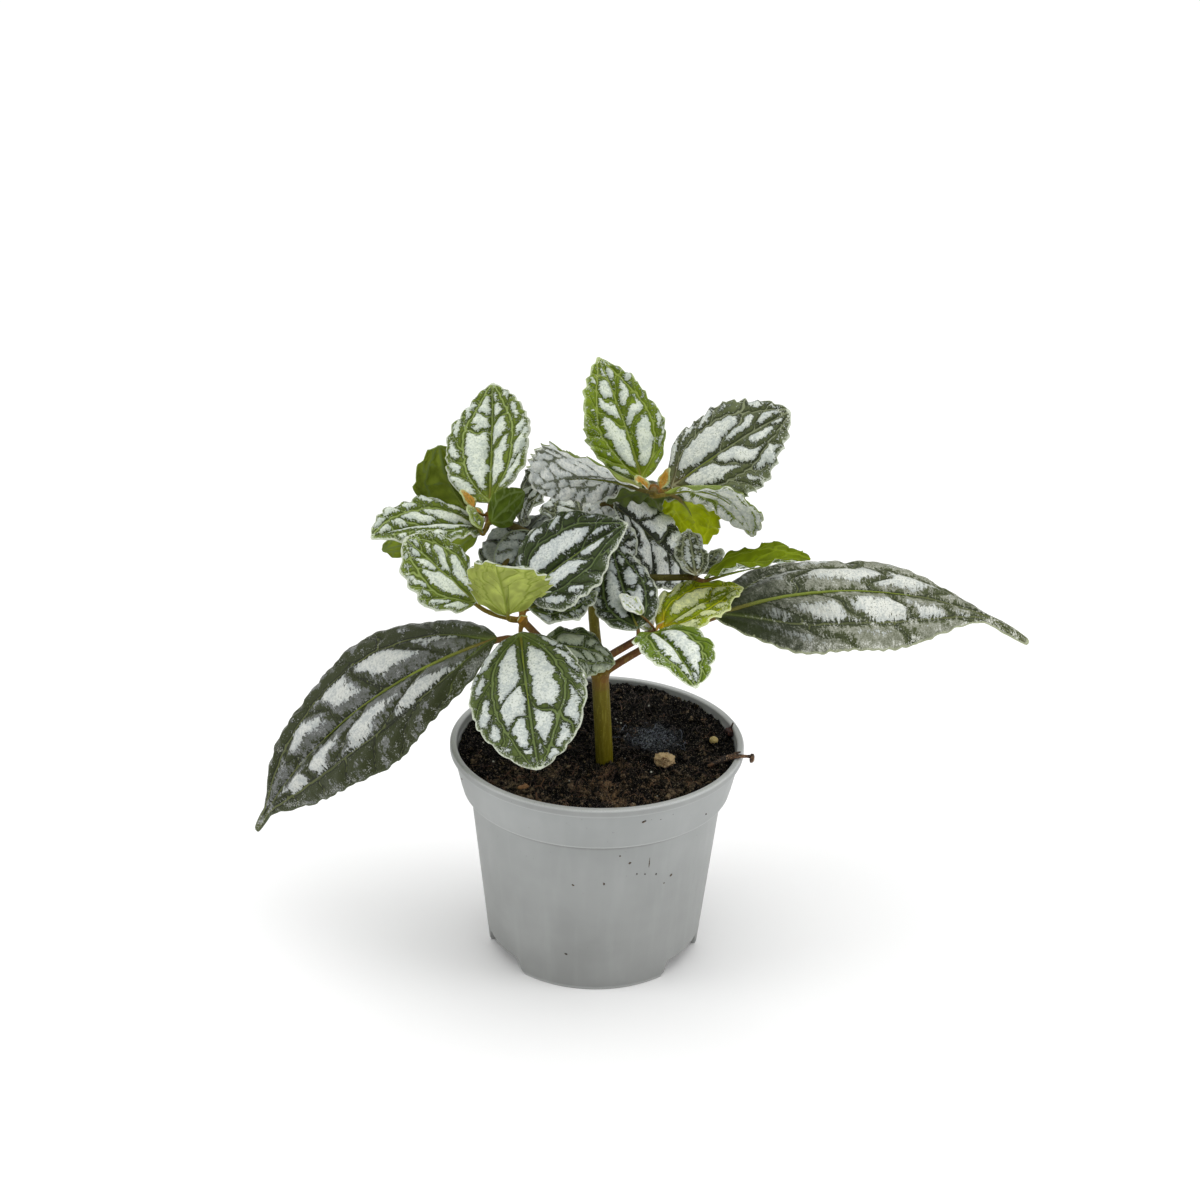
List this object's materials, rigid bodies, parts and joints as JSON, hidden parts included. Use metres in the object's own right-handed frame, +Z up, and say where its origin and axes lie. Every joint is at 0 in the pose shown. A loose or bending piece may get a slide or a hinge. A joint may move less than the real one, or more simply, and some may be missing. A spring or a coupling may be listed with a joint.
{
  "type": "potted aluminum plant",
  "caption": "Bushy houseplant with toothed, silver-blotched leaves on a short forked stem, standing in peat in a round plastic nursery pot.",
  "frame": {"origin": "centre of the pot's underside, on the surface that the pot stands on", "axes": "+Z up along the pot's axis, +X to the viewer's right, -Y towards the viewer of the reference picture"},
  "size_m": [0.2378, 0.1113, 0.1846],
  "materials": {
    "pot": "satin mid-grey moulded polypropylene, slightly lighter at its edges, with specks of dried peat",
    "peat": "dark, fibrous, damp peat with a few pale fibres and chips",
    "stem": "smooth olive to brown fleshy stem, reddish orange at the joints",
    "young_leaf": "soft satin green with raised silver-white blocks between sunken green veins and a pale toothed margin",
    "old_leaf": "semi-gloss dark grey-green with dull silver patches and a drawn-out tip"
  },
  "bodies": {
    "root": {"pot": "pot", "soil": "peat", "stem": "stem", "leaf_old_left": "old_leaf", "leaf_old_right": "old_leaf", "leaf_back": "young_leaf", "leaf_left_1": "young_leaf", "leaf_left_2": "young_leaf", "leaf_left_3": "young_leaf", "leaf_left_4": "young_leaf", "leaf_left_5": "young_leaf", "leaf_left_6": "young_leaf", "leaf_left_7": "young_leaf", "leaf_left_8": "young_leaf", "leaf_top_1": "young_leaf", "leaf_top_2": "young_leaf", "leaf_top_3": "young_leaf", "leaf_top_4": "young_leaf", "leaf_top_5": "young_leaf", "leaf_top_6": "young_leaf", "leaf_top_7": "young_leaf", "leaf_top_8": "young_leaf", "leaf_front_1": "young_leaf", "leaf_front_2": "young_leaf", "leaf_front_3": "young_leaf", "leaf_front_4": "young_leaf", "leaf_front_5": "young_leaf", "leaf_front_6": "young_leaf", "leaf_right_1": "young_leaf", "leaf_right_2": "young_leaf", "leaf_right_3": "young_leaf", "leaf_low_1": "young_leaf", "leaf_low_2": "young_leaf", "leaf_low_3": "young_leaf", "leaf_low_4": "young_leaf"}
  },
  "joints": []
}
